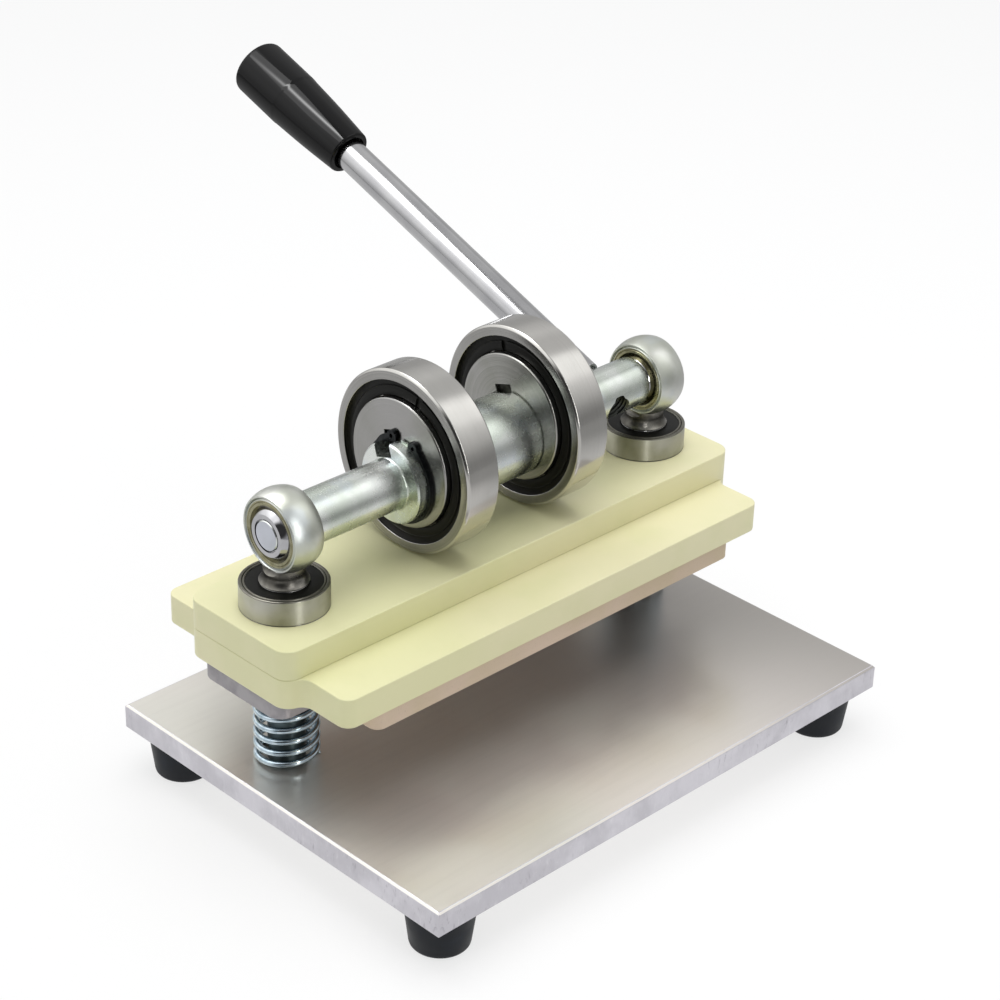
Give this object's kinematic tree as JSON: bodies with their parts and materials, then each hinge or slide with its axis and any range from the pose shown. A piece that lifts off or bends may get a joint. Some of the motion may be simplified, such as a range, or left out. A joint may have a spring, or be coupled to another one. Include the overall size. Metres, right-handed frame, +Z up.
{
  "type": "manual die cutting press",
  "caption": "Bench press for die cutting: a hand lever turns a shaft whose eccentric roller bearings push a spring-returned guided platen down on a flat base plate",
  "frame": {"origin": "middle of the pressing board's lower face with the platen up, at rest; the press face looks down -Z", "axes": "+Z up, square to the press face and to the base plate; +X along the lever shaft; +Y to the back, where the lever leans at rest; front is -Y"},
  "size_m": [0.2838, 0.3843, 0.2561],
  "materials": {
    "base_aluminium": "satin aluminium plate with sawn edges",
    "foot_rubber": "matt blue-black rubber",
    "plated_fastener": "zinc plated screws and washers",
    "ground_steel": "ground column steel",
    "zinc_plated_steel": "satin zinc plate, slightly cloudy",
    "race_zinc_yellow": "yellow-olive zinc plate",
    "spring_zinc_blue": "blue-white zinc plated wire",
    "cream_paint": "semi-gloss cream-yellow paint",
    "press_board_composite": "pinkish beige pressed board, matt",
    "grey_plate_metal": "grey plate, milled",
    "bearing_steel": "ground bearing steel",
    "mirror_steel": "polished balls",
    "seal_rubber": "black moulded seal",
    "cage_brass": "turned brass cage",
    "greased_spring_steel": "blackened spring steel with dark grease",
    "polished_steel": "polished bright rod",
    "grip_plastic": "glossy black moulding"
  },
  "bodies": {
    "root": {"base_plate": "base_aluminium", "column_screws": "plated_fastener", "column_washers": "plated_fastener", "foot_screws": "plated_fastener", "foot_washers": "plated_fastener", "guide_column_left": "ground_steel", "guide_column_right": "ground_steel", "race_insert_left": "race_zinc_yellow", "race_insert_right": "race_zinc_yellow", "return_spring_left": "spring_zinc_blue", "return_spring_right": "spring_zinc_blue", "rod_end_left": "zinc_plated_steel", "rod_end_right": "zinc_plated_steel", "rubber_foot_back_left": "foot_rubber", "rubber_foot_back_right": "foot_rubber", "rubber_foot_front_left": "foot_rubber", "rubber_foot_front_right": "foot_rubber"},
    "platen": {"board_screws": "plated_fastener", "guide_balls_lower_left": "mirror_steel", "guide_balls_lower_right": "mirror_steel", "guide_balls_upper_left": "mirror_steel", "guide_balls_upper_right": "mirror_steel", "guide_inner_ring_lower_left": "bearing_steel", "guide_inner_ring_lower_right": "bearing_steel", "guide_inner_ring_upper_left": "bearing_steel", "guide_inner_ring_upper_right": "bearing_steel", "guide_outer_ring_lower_left": "bearing_steel", "guide_outer_ring_lower_right": "bearing_steel", "guide_outer_ring_upper_left": "bearing_steel", "guide_outer_ring_upper_right": "bearing_steel", "guide_seals_lower_left": "seal_rubber", "guide_seals_lower_right": "seal_rubber", "guide_seals_upper_left": "seal_rubber", "guide_seals_upper_right": "seal_rubber", "joining_screws": "plated_fastener", "lower_plate": "cream_paint", "press_board": "press_board_composite", "spring_plate_left": "grey_plate_metal", "spring_plate_right": "grey_plate_metal", "spring_plate_screws": "plated_fastener", "upper_plate": "cream_paint"},
    "shaft": {"eccentric_shaft": "zinc_plated_steel", "lever_rod": "polished_steel", "hand_grip": "grip_plastic", "eccentric_ring_left": "bearing_steel", "eccentric_ring_right": "bearing_steel", "retaining_ring_left": "greased_spring_steel", "retaining_ring_right": "greased_spring_steel", "shaft_key_left": "greased_spring_steel", "shaft_key_right": "greased_spring_steel", "swivel_ball_left": "mirror_steel", "swivel_ball_right": "mirror_steel"},
    "left_roller": {"roller_ring_left": "bearing_steel", "roller_seals_left": "seal_rubber"},
    "left_cage": {"rollers_left": "bearing_steel", "roller_cage_left": "cage_brass"},
    "right_roller": {"roller_ring_right": "bearing_steel", "roller_seals_right": "seal_rubber"},
    "right_cage": {"rollers_right": "bearing_steel", "roller_cage_right": "cage_brass"}
  },
  "joints": [
    {"name": "lever_turn", "type": "hinge", "parent": "root", "child": "shaft", "pos_m": [0, 0, 0.07419], "axis": [1, 0, 0], "range_deg": [0, 160]},
    {"name": "platen_slide", "type": "slide", "parent": "root", "child": "platen", "axis": [0, 0, -1], "range_m": [0, 0.0124], "stiffness_N_per_m": 14800, "springref_m": -0.006, "deforming": ["return_spring_left", "return_spring_right"]},
    {"name": "left_ring_turn", "type": "hinge", "parent": "shaft", "child": "left_roller", "pos_m": [-0.0341, 0.00216, 0.08085], "axis": [1, 0, 0], "continuous": true},
    {"name": "left_cage_turn", "type": "hinge", "parent": "shaft", "child": "left_cage", "pos_m": [-0.0341, 0.00216, 0.08085], "axis": [1, 0, 0], "continuous": true},
    {"name": "right_ring_turn", "type": "hinge", "parent": "shaft", "child": "right_roller", "pos_m": [0.0341, 0.00216, 0.08085], "axis": [1, 0, 0], "continuous": true},
    {"name": "right_cage_turn", "type": "hinge", "parent": "shaft", "child": "right_cage", "pos_m": [0.0341, 0.00216, 0.08085], "axis": [1, 0, 0], "continuous": true}
  ],
  "couplings": [
    {"joint": "platen_slide", "follows": "lever_turn", "m_per_rad": 0.00437},
    {"joint": "left_cage_turn", "follows": "left_ring_turn", "ratio": 0.5683},
    {"joint": "right_cage_turn", "follows": "right_ring_turn", "ratio": 0.5683}
  ]
}
